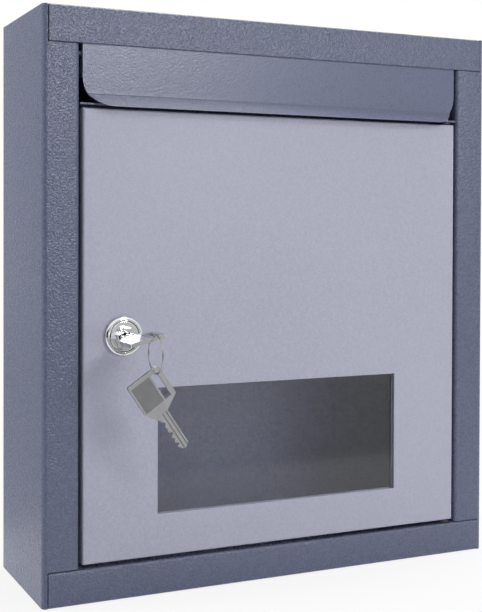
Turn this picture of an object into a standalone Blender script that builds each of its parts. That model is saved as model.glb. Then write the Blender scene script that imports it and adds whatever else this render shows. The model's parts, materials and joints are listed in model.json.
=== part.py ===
"""Steel suggestion box: folded shell, letter flap, windowed door, cam lock and two keys on a ring.

Metres, +Z up. The origin is the middle of the base, and the door faces -Y.
"""

import math

import bmesh
import bpy
from mathutils import Matrix, Vector

# Shell
BOX_WIDTH = 0.270
BOX_DEPTH = 0.0815
BOX_HEIGHT = 0.305
SHEET = 0.001
FIT = 0.0003
OVERRUN = 0.002
MERGE_DISTANCE = FIT / 100
EDGE_RADIUS = 0.0025
FOLD_RADIUS = 0.0015
STILE_FOLD_RADIUS = 0.0023
STILE_WIDTH = 0.0193
TOP_RAIL_HEIGHT = 0.0187
BOTTOM_RAIL_HEIGHT = 0.018
RAIL_PROUD = 0.0005
BOTTOM_RETURN = 0.012
BACK_FLANGE = 0.010

# Wall holes in the back
WALL_HOLE_INSET_X = 0.075
KEYHOLE_DROP = 0.032
LOW_HOLE_RISE = 0.014
KEYHOLE_RADIUS = 0.0045
KEYHOLE_SLOT_WIDTH = 0.0045
KEYHOLE_SLOT_RISE = 0.009
WALL_HOLE_RADIUS = 0.0025

# Letter flap and its rod
FLAP_DROP = 0.0319
FLAP_TUCK = 0.0029
FLAP_LIP_RISE = 0.0063
FLAP_LIP_REACH = 0.007
FLAP_CORNER_RADIUS = 0.015
FLAP_BEND_RADIUS = 0.002
FLAP_EAR_DEPTH = 0.0085
FLAP_EAR_HEIGHT = 0.0196
FLAP_PIVOT_DROP = 0.0046
FLAP_PIVOT_BACK = 0.0035
FLAP_ROD_RADIUS = 0.0015
FLAP_ROD_END = 0.002
CLIP_RADIUS = 0.0025
CLIP_THICKNESS = 0.0006

# Door and window
DOOR_SIDE_GAP = 0.0018
DOOR_FOOT_GAP = 0.002
DOOR_HEAD_GAP = 0.0007
DOOR_FLANGE = 0.0087
DOOR_FOLD_RADIUS = 0.0012
WINDOW_SIDE_MARGIN = 0.0408
WINDOW_HEIGHT = 0.0665
WINDOW_RISE = 0.0223
PANE_THICKNESS = 0.002
PANE_LAP = 0.005
CHANNEL_FOOT = 0.008

# Cross rail under the letter slot
SLOT_RAIL_GAP = 0.0016
SLOT_RAIL_FRONT = 0.0005
SLOT_RAIL_DEPTH = 0.0115
SLOT_RAIL_DROP = 0.0196
STOP_WIDTH = 0.014
STOP_INSET = 0.0037
STOP_HEIGHT = 0.005

# Door hinge
HINGE_INSET = 0.004
HINGE_BACK = 0.004
HINGE_PIN_RADIUS = 0.002
HINGE_HEAD_RADIUS = 0.0027
HINGE_HEAD_HEIGHT = 0.0012
HINGE_PIN_END = 0.0018
HINGE_WASHER_RADIUS = 0.0035

# Cam lock
LOCK_INSET = 0.0215
LOCK_ABOVE_WINDOW = 0.0279
LOCK_HEAD_RADIUS = 0.0102
LOCK_HEAD_HEIGHT = 0.0024
LOCK_HEAD_ROUND = 0.0012
LOCK_RECESS_RADIUS = 0.0081
LOCK_RECESS_DEPTH = 0.0015
LOCK_BARREL_RADIUS = 0.008
LOCK_BORE_RADIUS = 0.0058
PLUG_SHANK_RADIUS = 0.0055
PLUG_SET_BACK = 0.0001
PLUG_ROUND = 0.0004
PLUG_TAIL = 0.0005
KEYWAY_END_WALL = 0.0008
KEYWAY_EYE_RADIUS = 0.0018
KEYWAY_EYE_DEPTH = 0.003
TANG_SIDE = 0.006
TANG_SPARE = 0.0009
NUT_RADIUS = 0.0127
NUT_THICKNESS = 0.0035
LOCK_WASHER_RADIUS = 0.011
LOCK_WASHER_THICKNESS = 0.0008
CAM_WIDTH = 0.012
CAM_THICKNESS = 0.002
CAM_OVERLAP = 0.0036
CAM_CLEARANCE = 0.001
SCREW_RADIUS = 0.0016
SCREW_LENGTH = 0.0026
SCREW_HEAD_RADIUS = 0.004
SCREW_HEAD_HEIGHT = 0.0022
SCREW_SLOT_WIDTH = 0.001
SCREW_SLOT_DEPTH = 0.0009

# Keys and ring
KEY_TILT = math.radians(13)
KEY_THICKNESS = 0.002
KEY_SLOT_SIDE_REACH = 0.0114
KEY_SLOT_SIDE_LENGTH = 0.017
KEY_PLAIN_SIDE_REACH = 0.008
KEY_PLAIN_SIDE_LENGTH = 0.0166
KEY_BOW_ROUND = 0.001
KEY_NECK = 0.0216
KEY_HEEL_REACH = 0.006
KEY_HEEL_LENGTH = 0.0202
KEY_SHOULDER = 0.0241
KEY_BLADE_WIDTH = 0.0059
KEY_BLADE_LENGTH = 0.0189
KEY_TIP_LENGTH = 0.003
KEY_CUT_DEPTH_SHARES = (0.22, 0.10, 0.30, 0.16, 0.26)
KEY_GROOVE_WIDTH = 0.0008
KEY_GROOVE_DEPTH = 0.0005
KEY_GROOVE_PLACE_SHARES = (0.24, -0.12)
KEY_PANEL_DEPTH = 0.0002
KEY_PANEL_RIM = 0.002
KEY_PANEL_EDGE = 0.0009
KEY_SLOT_WIDTH = 0.00385
KEY_SLOT_LENGTH = 0.014
KEY_SLOT_SIDE_BAR = 0.00255
KEY_SLOT_END_BAR = 0.0025
KEY_DRAWN_OUT = 0.0068
KEYWAY_CLEARANCE = 0.0003
RING_INNER_RADIUS = 0.0093
RING_WIRE_RADIUS = 0.00045
RING_SLACK = 0.0006
RING_SIDE_PLAY = 0.0003
SPARE_HANG_ANGLE = math.radians(56)

# Fineness of the round shapes
BEND_STEPS = 5
ROUND_STEPS = 48
SMALL_ROUND_STEPS = 24
CORNER_STEPS = 8
WIRE_STEPS = 8

# Places worked out from the sizes above
HALF_WIDTH = BOX_WIDTH / 2
FRONT = -BOX_DEPTH / 2
BACK = BOX_DEPTH / 2
OPENING_HALF = HALF_WIDTH - STILE_WIDTH
TOP_RAIL_FOOT = BOX_HEIGHT - TOP_RAIL_HEIGHT
RAIL_FACE = FRONT - RAIL_PROUD
WALL_INSIDE = HALF_WIDTH - SHEET - FIT
BEND_HALF = HALF_WIDTH - EDGE_RADIUS - FIT
RAIL_HALF = BEND_HALF - FIT

FLAP_HALF = OPENING_HALF - DOOR_SIDE_GAP
FLAP_FACE = RAIL_FACE + SHEET + FIT
FLAP_TOP = TOP_RAIL_FOOT + FLAP_TUCK
FLAP_FOOT = TOP_RAIL_FOOT - FLAP_DROP
FLAP_BEND = FLAP_FOOT + FLAP_LIP_RISE
FLAP_PIVOT = Vector((0, FLAP_FACE + FLAP_PIVOT_BACK, TOP_RAIL_FOOT - FLAP_PIVOT_DROP))

DOOR_HALF = OPENING_HALF - DOOR_SIDE_GAP
DOOR_FOOT = BOTTOM_RAIL_HEIGHT + DOOR_FOOT_GAP
DOOR_TOP = FLAP_FOOT - DOOR_HEAD_GAP
WINDOW_HALF = DOOR_HALF - WINDOW_SIDE_MARGIN
WINDOW_FOOT = DOOR_FOOT + WINDOW_RISE
WINDOW_TOP = WINDOW_FOOT + WINDOW_HEIGHT
DOOR_INSIDE = FRONT + SHEET + FIT
PANE_BACK = DOOR_INSIDE + PANE_THICKNESS
HINGE = Vector((DOOR_HALF - HINGE_INSET, FRONT + HINGE_BACK, DOOR_FOOT))

SLOT_RAIL_FOOT = DOOR_TOP + SLOT_RAIL_GAP
SLOT_RAIL_TOP = SLOT_RAIL_FOOT + SHEET
SLOT_RAIL_BACK = FRONT + SLOT_RAIL_FRONT + SLOT_RAIL_DEPTH

LOCK = Vector((LOCK_INSET - DOOR_HALF, FRONT, WINDOW_TOP + LOCK_ABOVE_WINDOW))
LOCK_FACE = FIT + LOCK_HEAD_HEIGHT
PLUG_FACE = LOCK_FACE - PLUG_SET_BACK
PLUG_HEAD_RADIUS = LOCK_RECESS_RADIUS - FIT
RECESS_FLOOR = LOCK_FACE - LOCK_RECESS_DEPTH
KEYWAY_DEPTH = KEY_BLADE_LENGTH + FIT
PLUG_SHOULDER = KEYWAY_DEPTH + KEYWAY_END_WALL - PLUG_FACE
LOCK_BARREL_LENGTH = PLUG_SHOULDER - PLUG_TAIL
CAM_FRONT = PLUG_SHOULDER + FIT
CAM_BACK = CAM_FRONT + CAM_THICKNESS
CAM_REACH = LOCK_INSET + DOOR_SIDE_GAP + SHEET + CAM_OVERLAP
STILE_RETURN = CAM_FRONT - CAM_CLEARANCE
TANG_END = CAM_BACK + TANG_SPARE

KEY_LENGTH = KEY_SHOULDER + KEY_BLADE_LENGTH
KEY_END = PLUG_FACE + FIT + KEY_DRAWN_OUT + KEY_SHOULDER
KEY_SLOT_OUTER = KEY_SLOT_SIDE_REACH - KEY_SLOT_SIDE_BAR
KEY_SLOT_INNER = KEY_SLOT_OUTER - KEY_SLOT_WIDTH
RING_ON_KEY = KEY_SLOT_INNER + RING_WIRE_RADIUS + RING_SIDE_PLAY
RING_RADIUS = RING_INNER_RADIUS + RING_WIRE_RADIUS
RING_DROP = RING_INNER_RADIUS - KEY_THICKNESS / 2 - RING_SLACK
RING_PIVOT = LOCK + Vector(
    (RING_ON_KEY * math.cos(KEY_TILT), KEY_SLOT_END_BAR / 2 - KEY_END, RING_ON_KEY * math.sin(KEY_TILT))
)
SPARE_PIVOT = RING_PIVOT - Vector((0, 0, RING_DROP + RING_RADIUS))
SPARE_ON_RING_U = KEY_SLOT_END_BAR + FIT + RING_WIRE_RADIUS
SPARE_ON_RING_V = KEY_SLOT_OUTER - FIT - RING_WIRE_RADIUS

# Turning an object so that its own Z points at the door's front, or at the box's back
FACING_FRONT = (math.pi / 2, 0, 0)
FACING_BACK = (-math.pi / 2, 0, 0)
ALONG_X = (0, math.pi / 2, 0)
UPRIGHT = (0, 0, 0)


# Scene and materials

def clear_scene():
    for old in list(bpy.data.objects):
        bpy.data.objects.remove(old)


def make_collections():
    box = bpy.data.collections.new("suggestion_box")
    cutters = bpy.data.collections.new("cutters")
    bpy.context.scene.collection.children.link(box)
    bpy.context.scene.collection.children.link(cutters)
    return box, cutters


def principled(name, color, roughness, metallic, transmission=0.0):
    material = bpy.data.materials.new(name)
    material.use_nodes = True
    shader = material.node_tree.nodes["Principled BSDF"]
    shader.inputs["Base Color"].default_value = (*color, 1)
    shader.inputs["Roughness"].default_value = roughness
    shader.inputs["Metallic"].default_value = metallic
    shader.inputs["Transmission Weight"].default_value = transmission
    return material


# Building blocks

def add_object(name, mesh, material=None, at=(0, 0, 0), turn=UPRIGHT, parent=None):
    """Puts a mesh in the box's collection at a place in the world, under a pivot if it has one."""
    piece = bpy.data.objects.new(name, mesh)
    BOX.objects.link(piece)
    if material:
        mesh.materials.clear()
        mesh.materials.append(material)
    piece.rotation_euler = turn
    piece.location = Vector(at) - (parent.location if parent else Vector())
    piece.parent = parent
    return piece


def add_pivot(name, at, parent=None):
    pivot = bpy.data.objects.new(name, None)
    BOX.objects.link(pivot)
    pivot.location = Vector(at)
    if parent:
        pivot.location -= world_place(parent)
        pivot.parent = parent
    return pivot


def world_place(obj):
    place = obj.location.copy()
    while obj.parent:
        obj = obj.parent
        place += obj.location
    return place


def hang_on(piece, pivot):
    """Parents a piece that stands at its world place to a pivot, without moving it."""
    piece.location -= world_place(pivot)
    piece.parent = pivot


def as_cutter(piece):
    BOX.objects.unlink(piece)
    CUTTERS.objects.link(piece)
    piece.hide_render = True
    piece.display_type = "WIRE"
    return piece


def combine(piece, other, operation):
    boolean = piece.modifiers.new(operation.lower() + "_" + other.name, "BOOLEAN")
    boolean.operation = operation
    boolean.object = other
    boolean.solver = "EXACT"


def cut(piece, cutter):
    combine(piece, as_cutter(cutter), "DIFFERENCE")


def join(piece, other):
    combine(piece, as_cutter(other), "UNION")


def mesh_from(name, bm):
    mesh = bpy.data.meshes.new(name)
    bm.to_mesh(mesh)
    bm.free()
    return mesh


def smooth(piece, angle=math.radians(35)):
    piece.data.shade_smooth()
    piece.data.set_sharp_from_angle(angle=angle)


def block(name, low, high, material=None):
    low, high = Vector(low), Vector(high)
    bm = bmesh.new()
    bmesh.ops.create_cube(bm, size=1)
    bmesh.ops.scale(bm, verts=bm.verts, vec=high - low)
    return add_object(name, mesh_from(name, bm), material, (low + high) / 2)


def rod(name, radius, length, at, turn, steps=SMALL_ROUND_STEPS, material=None):
    """A plain cylinder centred on a place, its axis along its own Z."""
    bm = bmesh.new()
    bmesh.ops.create_cone(
        bm, cap_ends=True, segments=steps, radius1=radius, radius2=radius, depth=length
    )
    piece = add_object(name, mesh_from(name, bm), material, at, turn)
    smooth(piece)
    return piece


def rounded_path(points, radius, steps=BEND_STEPS):
    """An open path with an arc of one radius in place of each inner corner."""
    path = [Vector(points[0])]
    for before, corner, after in zip(points, points[1:], points[2:]):
        corner = Vector(corner)
        to_before = (Vector(before) - corner).normalized()
        to_after = (Vector(after) - corner).normalized()
        half = to_before.angle(to_after) / 2
        centre = corner + (to_before + to_after).normalized() * (radius / math.sin(half))
        start = corner + to_before * (radius / math.tan(half)) - centre
        turn = (math.pi - 2 * half) * math.copysign(1, to_before.cross(to_after))
        for step in range(steps + 1):
            path.append(centre + Matrix.Rotation(-turn * step / steps, 2) @ start)
    path.append(Vector(points[-1]))
    return path


def folded_sheet(name, path, along, low, high, material):
    """A folded sheet: the path is its outer face, and the thickness lies on the path's left."""
    bm = bmesh.new()
    place = {"Z": lambda p: (p.x, p.y, high), "X": lambda p: (high, p.x, p.y)}[along]
    verts = [bm.verts.new(place(p)) for p in path]
    edges = [bm.edges.new(pair) for pair in zip(verts, verts[1:])]
    drawn_out = bmesh.ops.extrude_edge_only(bm, edges=edges)["geom"]
    far = [item for item in drawn_out if isinstance(item, bmesh.types.BMVert)]
    run = {"Z": Vector((0, 0, low - high)), "X": Vector((low - high, 0, 0))}[along]
    bmesh.ops.translate(bm, verts=far, vec=run)
    piece = add_object(name, mesh_from(name, bm), material)
    give_thickness(piece)
    smooth(piece)
    return piece


def give_thickness(piece):
    wall = piece.modifiers.new("sheet", "SOLIDIFY")
    wall.thickness = SHEET
    wall.offset = -1
    wall.use_even_offset = True


def mirrored(path):
    return [Vector((-p[0], p[1])) for p in reversed(path)]


def tray(name, low, high, open_normal, radius, material):
    """A folded tray: a box with one side open, its flanges meeting square at the corners."""
    low, high = Vector(low), Vector(high)
    bm = bmesh.new()
    bmesh.ops.create_cube(bm, size=1)
    bmesh.ops.scale(bm, verts=bm.verts, vec=high - low)
    bm.normal_update()
    lid = [face for face in bm.faces if face.normal.dot(Vector(open_normal)) > 0.9]
    base = [face for face in bm.faces if face.normal.dot(Vector(open_normal)) < -0.9]
    folds = list(base[0].edges)
    bmesh.ops.delete(bm, geom=lid, context="FACES_ONLY")
    bmesh.ops.bevel(bm, geom=folds, offset=radius, segments=BEND_STEPS, profile=0.5, affect="EDGES")
    piece = add_object(name, mesh_from(name, bm), material, (low + high) / 2)
    give_thickness(piece)
    smooth(piece)
    return piece


def turned(name, profile, at, turn, material=None, steps=ROUND_STEPS, closed=False):
    """A turned piece: (radius, height) points down its outer side, spun about its own Z."""
    bm = bmesh.new()
    verts = [bm.verts.new((radius, 0, height)) for radius, height in profile]
    for first, second in zip(verts, verts[1:]):
        bm.edges.new((first, second))
    if closed:
        bm.edges.new((verts[-1], verts[0]))
    piece = add_object(name, mesh_from(name, bm), material, at, turn)
    spin = piece.modifiers.new("spin", "SCREW")
    spin.steps = steps
    spin.render_steps = steps
    spin.use_merge_vertices = True
    spin.merge_threshold = MERGE_DISTANCE
    spin.use_smooth_shade = True
    return piece


def washer(name, inner, outer, low, high, at, turn, material, steps=SMALL_ROUND_STEPS):
    profile = [(inner, high), (outer, high), (outer, low), (inner, low)]
    return turned(name, profile, at, turn, material, steps, closed=True)


def quarter_arc(centre, radius, start, steps):
    """Points of a quarter circle, anticlockwise from a start angle."""
    angles = [start + math.pi / 2 * step / steps for step in range(steps + 1)]
    return [(centre[0] + radius * math.cos(a), centre[1] + radius * math.sin(a)) for a in angles]


def flat_plate(name, outlines, thickness, at=(0, 0, 0), turn=UPRIGHT, material=None):
    """A flat plate of one outer outline and any holes in it, centred on its own thickness."""
    curve = bpy.data.curves.new(name, "CURVE")
    curve.dimensions = "2D"
    curve.fill_mode = "BOTH"
    curve.extrude = thickness / 2
    for outline in outlines:
        spline = curve.splines.new("POLY")
        spline.points.add(len(outline) - 1)
        for point, (x, y) in zip(spline.points, outline):
            point.co = (x, y, 0, 1)
        spline.use_cyclic_u = True
    drawn = bpy.data.objects.new(name, curve)
    BOX.objects.link(drawn)
    bpy.context.view_layer.update()
    graph = bpy.context.evaluated_depsgraph_get()
    mesh = bpy.data.meshes.new_from_object(drawn.evaluated_get(graph))
    bpy.data.objects.remove(drawn)
    bm = bmesh.new()
    bm.from_mesh(mesh)
    bmesh.ops.remove_doubles(bm, verts=bm.verts, dist=MERGE_DISTANCE)
    bmesh.ops.recalc_face_normals(bm, faces=bm.faces)
    bm.to_mesh(mesh)
    bm.free()
    mesh.name = name
    return add_object(name, mesh, material, at, turn)


# Shell

def side_path():
    """Plan of the left side: wall, front bend, stile and the return behind the stile's edge."""
    wall = [(-HALF_WIDTH, BACK), (-HALF_WIDTH, FRONT), (-OPENING_HALF, FRONT)]
    bend = rounded_path(wall, EDGE_RADIUS)
    stile = [tuple(bend[-2]), (-OPENING_HALF, FRONT), (-OPENING_HALF, FRONT + STILE_RETURN)]
    return bend[:-1] + rounded_path(stile, STILE_FOLD_RADIUS)[1:]


def make_side(name, side, material):
    """One side panel. The stile stops short of the two rails, and the front bend runs full height."""
    path = side_path()
    if side > 0:
        path = mirrored(path)
    panel = folded_sheet(name, path, "Z", 0, BOX_HEIGHT, material)
    spans = {
        "head": (TOP_RAIL_FOOT - FIT, BOX_HEIGHT + OVERRUN),
        "foot": (-OVERRUN, BOTTOM_RAIL_HEIGHT + FIT),
    }
    reach = sorted((side * BEND_HALF, side * (OPENING_HALF - OVERRUN)))
    for part, (low, high) in spans.items():
        notch = block(
            f"{name}_{part}_notch",
            (reach[0], FRONT - OVERRUN, low),
            (reach[1], FRONT + STILE_RETURN + OVERRUN, high),
        )
        cut(panel, notch)
    hole = rod(
        f"{name}_rod_hole",
        FLAP_ROD_RADIUS + FIT,
        2 * SHEET + 2 * OVERRUN,
        (side * OPENING_HALF, FLAP_PIVOT.y, FLAP_PIVOT.z),
        ALONG_X,
    )
    cut(panel, hole)
    return panel


def notch_for_bends(panel, low, high):
    """Clears a cap panel's front corners for the side walls' front bends."""
    for side, word in ((-1, "left"), (1, "right")):
        reach = sorted((side * (HALF_WIDTH + OVERRUN), side * RAIL_HALF))
        corner = block(
            f"{panel.name}_{word}_corner",
            (reach[0], RAIL_FACE - OVERRUN, low),
            (reach[1], FRONT + EDGE_RADIUS, high),
        )
        cut(panel, corner)


def make_top_panel(material):
    corners = [(BACK, BOX_HEIGHT), (RAIL_FACE, BOX_HEIGHT), (RAIL_FACE, TOP_RAIL_FOOT)]
    path = rounded_path(corners, FOLD_RADIUS)
    panel = folded_sheet("top_panel", path, "X", -WALL_INSIDE, WALL_INSIDE, material)
    notch_for_bends(panel, TOP_RAIL_FOOT - OVERRUN, BOX_HEIGHT + OVERRUN)
    return panel


def make_bottom_panel(material):
    corners = [
        (FRONT + BOTTOM_RETURN, BOTTOM_RAIL_HEIGHT),
        (RAIL_FACE, BOTTOM_RAIL_HEIGHT),
        (RAIL_FACE, 0),
        (BACK, 0),
    ]
    path = rounded_path(corners, FOLD_RADIUS)
    panel = folded_sheet("bottom_panel", path, "X", -WALL_INSIDE, WALL_INSIDE, material)
    notch_for_bends(panel, -OVERRUN, BOTTOM_RAIL_HEIGHT + OVERRUN)
    trim_return_ends(panel)
    pin_hole = rod(
        "bottom_pin_hole",
        HINGE_PIN_RADIUS + FIT,
        SHEET + 2 * OVERRUN,
        (HINGE.x, HINGE.y, BOTTOM_RAIL_HEIGHT - SHEET / 2),
        UPRIGHT,
    )
    cut(panel, pin_hole)
    return panel


def trim_return_ends(panel):
    """Ends the bottom rail's return at the stiles, whose own returns stand above it."""
    for side, word in ((-1, "left"), (1, "right")):
        reach = sorted((side * (HALF_WIDTH + OVERRUN), side * RAIL_HALF))
        end = block(
            f"{panel.name}_{word}_end",
            (reach[0], FRONT, BOTTOM_RAIL_HEIGHT - SHEET - OVERRUN),
            (reach[1], FRONT + BOTTOM_RETURN + OVERRUN, BOTTOM_RAIL_HEIGHT + OVERRUN),
        )
        cut(panel, end)


def keyhole_outline():
    """A round entry with a narrower slot above it, for a wall screw."""
    half = KEYHOLE_SLOT_WIDTH / 2
    mouth = math.asin(half / KEYHOLE_RADIUS)
    sweep = 2 * math.pi - 2 * mouth
    count = SMALL_ROUND_STEPS
    angles = [math.pi / 2 + mouth + sweep * step / count for step in range(count + 1)]
    entry = [(KEYHOLE_RADIUS * math.cos(a), KEYHOLE_RADIUS * math.sin(a)) for a in angles]
    rise = KEYHOLE_SLOT_RISE
    crown = quarter_arc((0, rise), half, 0, CORNER_STEPS)
    crown += quarter_arc((0, rise), half, math.pi / 2, CORNER_STEPS)[1:]
    return entry + crown


def make_back_panel(material):
    panel = tray(
        "back_panel",
        (-WALL_INSIDE, BACK - SHEET - BACK_FLANGE, SHEET + FIT),
        (WALL_INSIDE, BACK, BOX_HEIGHT - SHEET - FIT),
        (0, -1, 0),
        FOLD_RADIUS,
        material,
    )
    place_x = HALF_WIDTH - WALL_HOLE_INSET_X
    depth = SHEET + 2 * OVERRUN
    for side, word in ((-1, "left"), (1, "right")):
        keyhole = flat_plate(
            f"keyhole_{word}",
            [keyhole_outline()],
            depth,
            (side * place_x, BACK, BOX_HEIGHT - KEYHOLE_DROP),
            FACING_FRONT,
        )
        cut(panel, keyhole)
        low_hole = rod(
            f"low_wall_hole_{word}",
            WALL_HOLE_RADIUS,
            depth,
            (side * place_x, BACK, LOW_HOLE_RISE),
            FACING_FRONT,
        )
        cut(panel, low_hole)
    return panel


def make_slot_rail(material):
    """Angle rail between the stiles: the slot's lower lip, the upper hinge seat and the door's stop."""
    corners = [
        (SLOT_RAIL_BACK, SLOT_RAIL_TOP - SLOT_RAIL_DROP),
        (SLOT_RAIL_BACK, SLOT_RAIL_TOP),
        (FRONT + SLOT_RAIL_FRONT, SLOT_RAIL_TOP),
    ]
    reach = OPENING_HALF - FIT
    path = rounded_path(corners, FOLD_RADIUS)
    rail = folded_sheet("slot_rail", path, "X", -reach, reach, material)
    stop_left = STOP_INSET - OPENING_HALF
    stop = block(
        "door_stop",
        (stop_left, FRONT + DOOR_FLANGE + FIT, DOOR_TOP - STOP_HEIGHT),
        (stop_left + STOP_WIDTH, SLOT_RAIL_BACK - SHEET / 2, SLOT_RAIL_TOP - SHEET / 2),
    )
    join(rail, stop)
    pin_hole = rod(
        "slot_rail_pin_hole",
        HINGE_PIN_RADIUS + FIT,
        SHEET + 2 * OVERRUN,
        (HINGE.x, HINGE.y, SLOT_RAIL_TOP - SHEET / 2),
        UPRIGHT,
    )
    cut(rail, pin_hole)
    return rail


# Letter flap

def flap_outline():
    """Front view of the flap: square at the top, large rounded corners at the foot."""
    r = FLAP_CORNER_RADIUS
    low = FLAP_FOOT
    outline = [(FLAP_HALF, FLAP_TOP), (-FLAP_HALF, FLAP_TOP)]
    outline += quarter_arc((r - FLAP_HALF, low + r), r, math.pi, CORNER_STEPS)
    outline += quarter_arc((FLAP_HALF - r, low + r), r, 3 * math.pi / 2, CORNER_STEPS)
    return outline


def make_ear(side, word):
    """The flap's side folded back, drilled for the rod."""
    reach = sorted((side * FLAP_HALF, side * (FLAP_HALF - SHEET)))
    return block(
        f"flap_ear_{word}",
        (reach[0], FLAP_FACE + SHEET / 2, FLAP_TOP - FLAP_EAR_HEIGHT),
        (reach[1], FLAP_FACE + FLAP_EAR_DEPTH, FLAP_TOP),
    )


def make_flap(material):
    corners = [
        (FLAP_FACE, FLAP_TOP),
        (FLAP_FACE, FLAP_BEND),
        (FLAP_FACE - FLAP_LIP_REACH, FLAP_FOOT),
    ]
    path = rounded_path(corners, FLAP_BEND_RADIUS)
    flap = folded_sheet("flap", path, "X", -FLAP_HALF, FLAP_HALF, material)
    join(flap, make_ear(-1, "left"))
    join(flap, make_ear(1, "right"))
    span = 2 * (FLAP_LIP_REACH + FLAP_EAR_DEPTH + OVERRUN)
    outline = flat_plate("flap_outline", [flap_outline()], span, (0, FLAP_FACE, 0), FACING_FRONT)
    combine(flap, as_cutter(outline), "INTERSECT")
    bore = rod(
        "flap_ear_bore",
        FLAP_ROD_RADIUS + FIT,
        2 * (FLAP_HALF + OVERRUN),
        FLAP_PIVOT,
        ALONG_X,
    )
    cut(flap, bore)
    hang_on(flap, add_pivot("flap_pivot", FLAP_PIVOT))
    return flap


def make_flap_rod(rod_material, clip_material):
    return_inside = OPENING_HALF + SHEET
    clip_start = return_inside + FIT
    rod_half = clip_start + CLIP_THICKNESS + FLAP_ROD_END
    rod("flap_rod", FLAP_ROD_RADIUS, 2 * rod_half, FLAP_PIVOT, ALONG_X, material=rod_material)
    for side, word in ((-1, "left"), (1, "right")):
        ends = sorted((side * clip_start, side * (clip_start + CLIP_THICKNESS)))
        washer(
            f"flap_clip_{word}",
            FLAP_ROD_RADIUS + FIT,
            CLIP_RADIUS,
            *ends,
            FLAP_PIVOT,
            ALONG_X,
            clip_material,
        )


# Door

def make_door(material, pivot):
    door = tray(
        "door_panel",
        (-DOOR_HALF, FRONT, DOOR_FOOT),
        (DOOR_HALF, FRONT + DOOR_FLANGE, DOOR_TOP),
        (0, 1, 0),
        DOOR_FOLD_RADIUS,
        material,
    )
    window = block(
        "window_cut",
        (-WINDOW_HALF, FRONT - OVERRUN, WINDOW_FOOT),
        (WINDOW_HALF, FRONT + SHEET + OVERRUN, WINDOW_TOP),
    )
    cut(door, window)
    lock_hole = rod(
        "door_lock_hole",
        LOCK_BARREL_RADIUS + FIT,
        2 * (SHEET + OVERRUN),
        LOCK,
        FACING_FRONT,
        ROUND_STEPS,
    )
    cut(door, lock_hole)
    pin_holes = rod(
        "door_pin_holes",
        HINGE_PIN_RADIUS + FIT,
        DOOR_TOP - DOOR_FOOT + 2 * OVERRUN,
        (HINGE.x, HINGE.y, (DOOR_TOP + DOOR_FOOT) / 2),
        UPRIGHT,
    )
    cut(door, pin_holes)
    hang_on(door, pivot)
    return door


def make_pane(material, pivot):
    pane = block(
        "window_pane",
        (-WINDOW_HALF - PANE_LAP, DOOR_INSIDE, WINDOW_FOOT - PANE_LAP),
        (WINDOW_HALF + PANE_LAP, PANE_BACK, WINDOW_TOP + PANE_LAP),
        material,
    )
    hang_on(pane, pivot)


def channel_path(edge):
    """Section of a pane channel: foot on the door, step round the pane, lip behind the pane."""
    step = edge + PANE_LAP + FIT + SHEET
    foot_back = DOOR_INSIDE + SHEET
    lip_back = PANE_BACK + FIT + SHEET
    return [
        Vector((step + CHANNEL_FOOT, foot_back)),
        Vector((step, foot_back)),
        Vector((step, lip_back)),
        Vector((edge, lip_back)),
    ]


def make_channels(material, pivot):
    right = channel_path(WINDOW_HALF)
    low = WINDOW_FOOT - PANE_LAP - FIT
    high = WINDOW_TOP + PANE_LAP + FIT
    below = channel_path(-WINDOW_FOOT)
    bottom = [Vector((p.y, -p.x)) for p in below]
    reach = WINDOW_HALF - FIT
    for channel in (
        folded_sheet("pane_channel_right", right, "Z", low, high, material),
        folded_sheet("pane_channel_left", mirrored(right), "Z", low, high, material),
        folded_sheet("pane_channel_bottom", bottom, "X", -reach, reach, material),
    ):
        hang_on(channel, pivot)


def make_hinge(pin_material, washer_material, pivot):
    """Riveted pivot pins in the door's flanges, turning in the rails, with a spacer at each."""
    bore = HINGE_PIN_RADIUS + FIT
    upper_low = DOOR_TOP - SHEET - FIT
    upper_high = SLOT_RAIL_TOP + HINGE_PIN_END
    lower_low = BOTTOM_RAIL_HEIGHT - SHEET - HINGE_PIN_END
    lower_high = DOOR_FOOT + SHEET + FIT
    upper = turned(
        "hinge_pin_upper",
        [
            (0, upper_high),
            (HINGE_PIN_RADIUS, upper_high),
            (HINGE_PIN_RADIUS, upper_low),
            (HINGE_HEAD_RADIUS, upper_low),
            (HINGE_HEAD_RADIUS, upper_low - HINGE_HEAD_HEIGHT),
            (0, upper_low - HINGE_HEAD_HEIGHT),
        ],
        (HINGE.x, HINGE.y, 0),
        UPRIGHT,
        pin_material,
        SMALL_ROUND_STEPS,
    )
    lower = turned(
        "hinge_pin_lower",
        [
            (0, lower_high + HINGE_HEAD_HEIGHT),
            (HINGE_HEAD_RADIUS, lower_high + HINGE_HEAD_HEIGHT),
            (HINGE_HEAD_RADIUS, lower_high),
            (HINGE_PIN_RADIUS, lower_high),
            (HINGE_PIN_RADIUS, lower_low),
            (0, lower_low),
        ],
        (HINGE.x, HINGE.y, 0),
        UPRIGHT,
        pin_material,
        SMALL_ROUND_STEPS,
    )
    hang_on(upper, pivot)
    hang_on(lower, pivot)
    spans = {
        "upper": (DOOR_TOP + FIT, SLOT_RAIL_FOOT - FIT),
        "lower": (BOTTOM_RAIL_HEIGHT + FIT, DOOR_FOOT - FIT),
    }
    for word, (low, high) in spans.items():
        washer(
            f"hinge_washer_{word}",
            bore,
            HINGE_WASHER_RADIUS,
            low,
            high,
            (HINGE.x, HINGE.y, 0),
            UPRIGHT,
            washer_material,
        )


# Lock. Heights run along the lock's axis, out of the door's face.

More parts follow.
